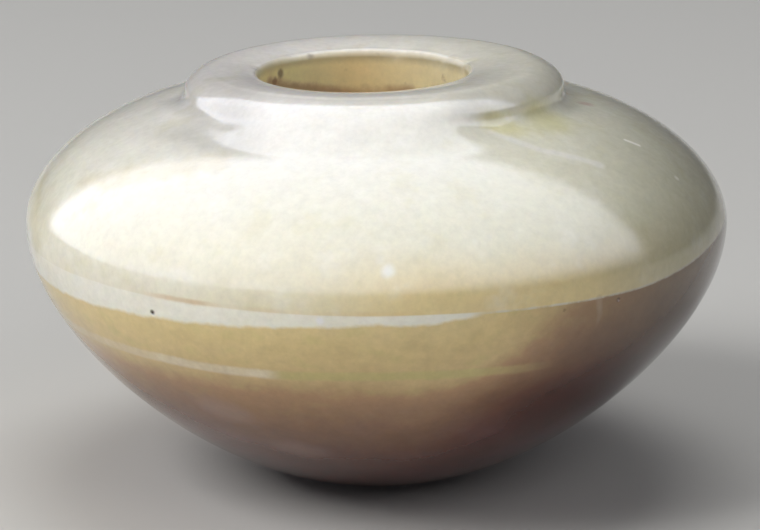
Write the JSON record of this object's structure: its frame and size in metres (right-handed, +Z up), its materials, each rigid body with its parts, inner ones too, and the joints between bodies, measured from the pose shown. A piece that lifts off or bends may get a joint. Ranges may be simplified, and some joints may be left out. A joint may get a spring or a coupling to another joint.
{
  "type": "alabaster jar",
  "caption": "Squat round-bottomed alabaster jar with a thick rounded collar about a narrow mouth, hollowed to hold oil or ointment",
  "frame": {"origin": "the middle of the small flat on the underside that the jar stands on", "axes": "+Z points up through the mouth, -Y is the side shown in the picture, +X is to the right in the picture"},
  "size_m": [0.12, 0.12, 0.072],
  "materials": {
    "alabaster": "polished, slightly translucent, with white and ochre veins"
  },
  "bodies": {
    "root": {"jar": "alabaster"}
  },
  "joints": []
}
